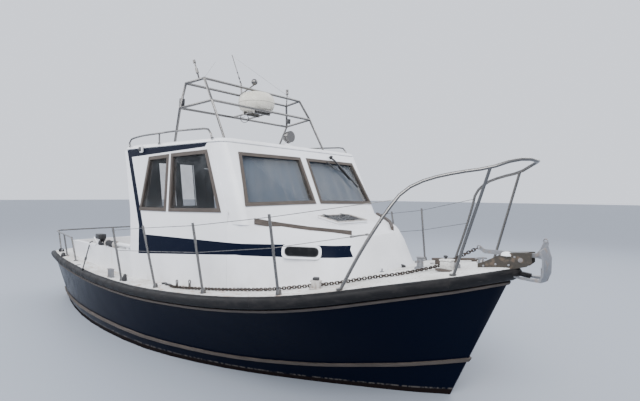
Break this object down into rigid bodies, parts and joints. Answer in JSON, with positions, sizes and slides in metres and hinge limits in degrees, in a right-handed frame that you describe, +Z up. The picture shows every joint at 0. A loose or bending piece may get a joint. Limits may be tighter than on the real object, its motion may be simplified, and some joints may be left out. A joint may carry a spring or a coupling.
{
  "type": "sport fishing boat",
  "caption": "Small displacement motor boat for sport fishing, with a trunk cabin, a wheelhouse carrying a radar gantry, a bow pulpit with an anchor roller, and an open cockpit aft.",
  "frame": {"origin": "on the centreline amidships, at the height of the water the boat floats in", "axes": "+X to the bow, +Y to port, +Z up; z = 0 is the waterline"},
  "size_m": [7.76, 2.9388, 4.4646],
  "materials": {
    "bronze": "cast bronze",
    "curtain_cloth": "grey-blue cloth",
    "radome_cream": "cream moulded plastic",
    "black_fittings": "black plastic and painted metal",
    "galvanised": "dull galvanised steel",
    "window_glass": "smoked glass",
    "hull_paint": "dark navy gelcoat, glossy, sun-faded aft",
    "fender_rubber": "weathered black rubber",
    "rusty_chain": "rust-brown galvanised chain",
    "stainless": "polished stainless tube",
    "deck_boards": "worn teak boards",
    "white_paint": "white gelcoat, slightly weathered",
    "weathered_wood": "weathered grey-brown hardwood"
  },
  "bodies": {
    "boat": {"hull": "hull_paint", "deck": "white_paint", "fenderBelt": "fender_rubber", "upperStrake": "weathered_wood", "lowerStrake": "weathered_wood", "trunk": "white_paint", "portlightStarboard": "white_paint", "portlightPort": "white_paint", "hatchFrame": "white_paint", "woodRailStarboard": "weathered_wood", "woodRailPort": "weathered_wood", "houseSideStarboard": "white_paint", "houseSidePort": "white_paint", "sideFrameStarboard": "weathered_wood", "sideFramePort": "weathered_wood", "sidePaneAftStarboard": "window_glass", "sidePaneAftPort": "window_glass", "sidePaneForeStarboard": "window_glass", "sidePaneForePort": "window_glass", "houseFront": "white_paint", "houseRoof": "white_paint", "screenFrameStarboard": "weathered_wood", "screenFramePort": "weathered_wood", "screenPaneStarboard": "window_glass", "screenPanePort": "window_glass", "houseBulkhead": "white_paint", "cockpitSole": "deck_boards", "engineBox": "white_paint", "engineBlock": "black_fittings", "coaming": "white_paint", "console": "white_paint", "helmSeat": "curtain_cloth", "curtainStarboard": "curtain_cloth", "curtainPort": "curtain_cloth", "gantry": "stainless", "radome": "radome_cream", "searchlightFoot": "white_paint", "roofRailStarboard": "stainless", "roofRailPort": "stainless", "pulpit": "stainless", "stanchionsStarboard": "stainless", "stanchionsPort": "stainless", "sternRail": "stainless", "rollerCheeks": "galvanised", "anchor": "galvanised", "anchorChain": "rusty_chain", "bollard": "stainless", "deckBox": "white_paint"},
    "rudder": {"rudder": "hull_paint"},
    "propeller": {"propeller": "bronze"},
    "hatch_lid": {"hatchLid": "window_glass"},
    "door": {"door": "white_paint", "doorPane": "window_glass"},
    "engine_lid": {"engineLid": "white_paint"},
    "steering_wheel": {"steeringWheel": "black_fittings"},
    "searchlight": {"searchlight": "stainless"},
    "bow_roller": {"bowRoller": "white_paint"}
  },
  "joints": [
    {"name": "rudder_turn", "type": "hinge", "parent": "boat", "child": "rudder", "pos_m": [-3.29, 0, -0.5], "axis": [0, 0, 1], "range_deg": [-35, 35]},
    {"name": "propeller_spin", "type": "hinge", "parent": "boat", "child": "propeller", "pos_m": [-3.01, 0, -0.5], "axis": [1, 0, 0], "continuous": true},
    {"name": "hatch_lid_hinge", "type": "hinge", "parent": "boat", "child": "hatch_lid", "pos_m": [1.764, 0, 1.55773], "axis": [0, -1, 0], "range_deg": [0, 85]},
    {"name": "door_hinge", "type": "hinge", "parent": "boat", "child": "door", "pos_m": [-0.4665, 0.566, 1.3], "axis": [0.1483, 0, -0.9889], "range_deg": [0, 100]},
    {"name": "engine_lid_hinge", "type": "hinge", "parent": "boat", "child": "engine_lid", "pos_m": [0.692, 0, 0.78], "axis": [0, 1, 0], "range_deg": [0, 80]},
    {"name": "steering_wheel_turn", "type": "hinge", "parent": "boat", "child": "steering_wheel", "pos_m": [0.93, -0.74, 1.29], "axis": [-0.9397, 0, 0.3419], "range_deg": [-540, 540]},
    {"name": "searchlight_turn", "type": "hinge", "parent": "boat", "child": "searchlight", "pos_m": [1.085, 0, 2.42], "axis": [0, 0, 1], "range_deg": [-170, 170]},
    {"name": "bow_roller_spin", "type": "hinge", "parent": "boat", "child": "bow_roller", "pos_m": [3.745, 0, 1.275], "axis": [0, 1, 0], "continuous": true}
  ]
}
